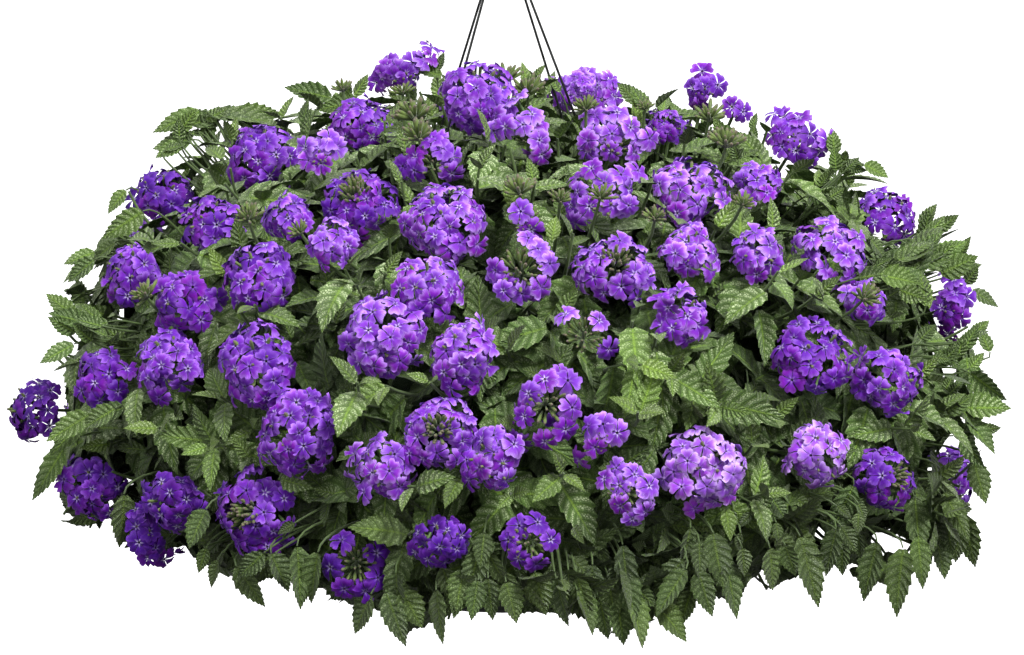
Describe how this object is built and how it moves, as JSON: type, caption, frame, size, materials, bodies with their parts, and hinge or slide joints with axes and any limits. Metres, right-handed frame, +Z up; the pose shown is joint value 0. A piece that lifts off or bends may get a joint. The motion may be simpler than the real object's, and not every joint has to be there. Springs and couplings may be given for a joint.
{
  "type": "hanging flower basket",
  "caption": "Verbena in a hanging basket: violet flower heads and toothed leaves in a round mound over a plastic pot, held by four wires and a hook",
  "frame": {"origin": "The inside top of the hook, where the rod or nail that carries the basket lies. The pot's axis passes through it.", "axes": "+Z is up, -Y is the front that the picture shows, and +X is its right-hand side."},
  "size_m": [0.7648, 0.7431, 0.6083],
  "materials": {
    "hook_steel": "satin",
    "leaf_green": "satin",
    "leaf_green_shaded": "matte",
    "petals_deep_violet": "matte",
    "petals_lilac": "matte",
    "petals_pale_lilac": "matte",
    "petals_violet": "matte",
    "pot_plastic": "satin",
    "potting_soil": "matte",
    "sleeve_steel": "satin",
    "wire_steel": "satin"
  },
  "bodies": {
    "root": {"bloom_01": "petals_lilac", "bloom_02": "petals_violet", "bloom_03": "petals_lilac", "bloom_04": "petals_deep_violet", "bloom_05": "petals_violet", "bloom_06": "petals_violet", "bloom_07": "petals_deep_violet", "bloom_08": "petals_violet", "bloom_09": "petals_deep_violet", "bloom_10": "petals_violet", "bloom_11": "petals_lilac", "bloom_12": "petals_lilac", "bloom_13": "petals_lilac", "bloom_14": "petals_lilac", "bloom_15": "petals_lilac", "bloom_16": "petals_lilac", "bloom_17": "petals_lilac", "bloom_18": "petals_violet", "bloom_19": "petals_lilac", "bloom_20": "petals_violet", "bloom_21": "petals_violet", "bloom_22": "petals_lilac", "bloom_23": "petals_lilac", "bloom_24": "petals_violet", "bloom_25": "petals_violet", "bloom_26": "petals_pale_lilac", "bloom_27": "petals_lilac", "bloom_28": "petals_deep_violet", "bloom_29": "petals_lilac", "bloom_30": "petals_deep_violet", "bloom_31": "petals_lilac", "bloom_32": "petals_lilac", "bloom_33": "petals_lilac", "bloom_34": "petals_violet", "bloom_35": "petals_lilac", "bloom_36": "petals_lilac", "bloom_37": "petals_pale_lilac", "bloom_38": "petals_pale_lilac", "bloom_39": "petals_violet", "bloom_40": "petals_deep_violet", "bloom_41": "petals_lilac", "bloom_42": "petals_lilac", "bloom_43": "petals_violet", "foliage_back": "leaf_green", "foliage_front": "leaf_green", "foliage_left": "leaf_green", "foliage_right": "leaf_green", "hanger_hook": "hook_steel", "hanger_sleeve": "sleeve_steel", "hanger_wire_left_back": "wire_steel", "hanger_wire_left_front": "wire_steel", "hanger_wire_right_back": "wire_steel", "hanger_wire_right_front": "wire_steel", "pot": "pot_plastic", "soil": "potting_soil", "trailing_back": "leaf_green_shaded", "trailing_front": "leaf_green_shaded", "trailing_left": "leaf_green_shaded", "trailing_right": "leaf_green_shaded"}
  },
  "joints": []
}
